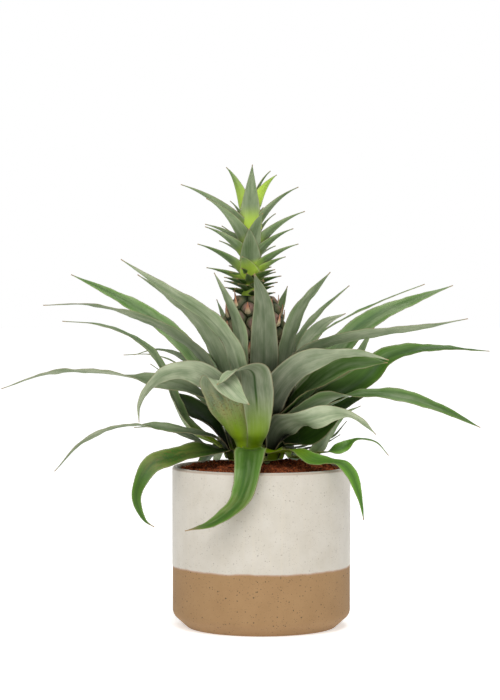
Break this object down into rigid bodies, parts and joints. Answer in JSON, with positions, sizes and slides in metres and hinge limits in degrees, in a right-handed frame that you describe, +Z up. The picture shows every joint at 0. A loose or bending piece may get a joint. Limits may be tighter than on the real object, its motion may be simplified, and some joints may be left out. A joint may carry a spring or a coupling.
{
  "type": "potted pineapple plant",
  "caption": "Ornamental pineapple plant with a rosette of long strap leaves and one small fruit with its leafy crown, in a round glazed pot filled with soil.",
  "frame": {"origin": "centre of the pot's flat base", "axes": "+Z up along the pot's axis, -Y towards the front of the plant, +X to the viewer's right"},
  "size_m": [0.3822, 0.2496, 0.3617],
  "materials": {
    "pot_glaze": "cream speckled glaze over a raw tan foot",
    "soil": "rough coir and peat",
    "stem": "matt",
    "fruit_skin": "matt, rough",
    "crown_leaf": "satin",
    "leaf": "satin"
  },
  "bodies": {
    "root": {"pot": "pot_glaze", "soil": "soil", "stem": "stem", "fruit": "fruit_skin", "crown": "crown_leaf", "leaf_front_upright": "leaf", "leaf_fruit_back_left": "leaf", "leaf_fruit_back_right": "leaf", "leaf_left_inner": "leaf", "leaf_right_inner": "leaf", "leaf_back_high": "leaf", "leaf_left_broad": "leaf", "leaf_right_edge": "leaf", "leaf_right_blunt": "leaf", "leaf_back_right_high": "leaf", "leaf_left_second": "leaf", "leaf_right_blade": "leaf", "leaf_back_left_high": "leaf", "leaf_right_grey": "leaf", "leaf_left_high": "leaf", "leaf_left_green": "leaf", "leaf_right_high": "leaf", "leaf_left_bow": "leaf", "leaf_back_left_long": "leaf", "leaf_right_wavy": "leaf", "leaf_back_right_long": "leaf", "leaf_right_dark": "leaf", "leaf_back_left_pale": "leaf", "leaf_back_middle": "leaf", "leaf_right_green": "leaf", "leaf_left_long": "leaf", "leaf_back_left_faint": "leaf", "leaf_right_arching": "leaf", "leaf_back_right_middle": "leaf", "leaf_back_left_spike": "leaf", "leaf_left_shaded": "leaf", "leaf_left_whip": "leaf", "leaf_left_channel": "leaf", "leaf_right_shaded": "leaf", "leaf_front_left_folded": "leaf", "leaf_back_low": "leaf", "leaf_right_ruffled": "leaf", "leaf_right_base": "leaf", "leaf_back_left_base": "leaf", "leaf_back_right_spike": "leaf", "leaf_front_folded": "leaf", "leaf_right_rising": "leaf", "leaf_left_low": "leaf", "leaf_back_right_tip": "leaf", "leaf_back_drooping": "leaf", "leaf_right_low": "leaf", "leaf_back_left_drooping": "leaf", "leaf_back_right_drooping": "leaf", "leaf_right_small": "leaf", "leaf_front_drooping": "leaf"}
  },
  "joints": []
}
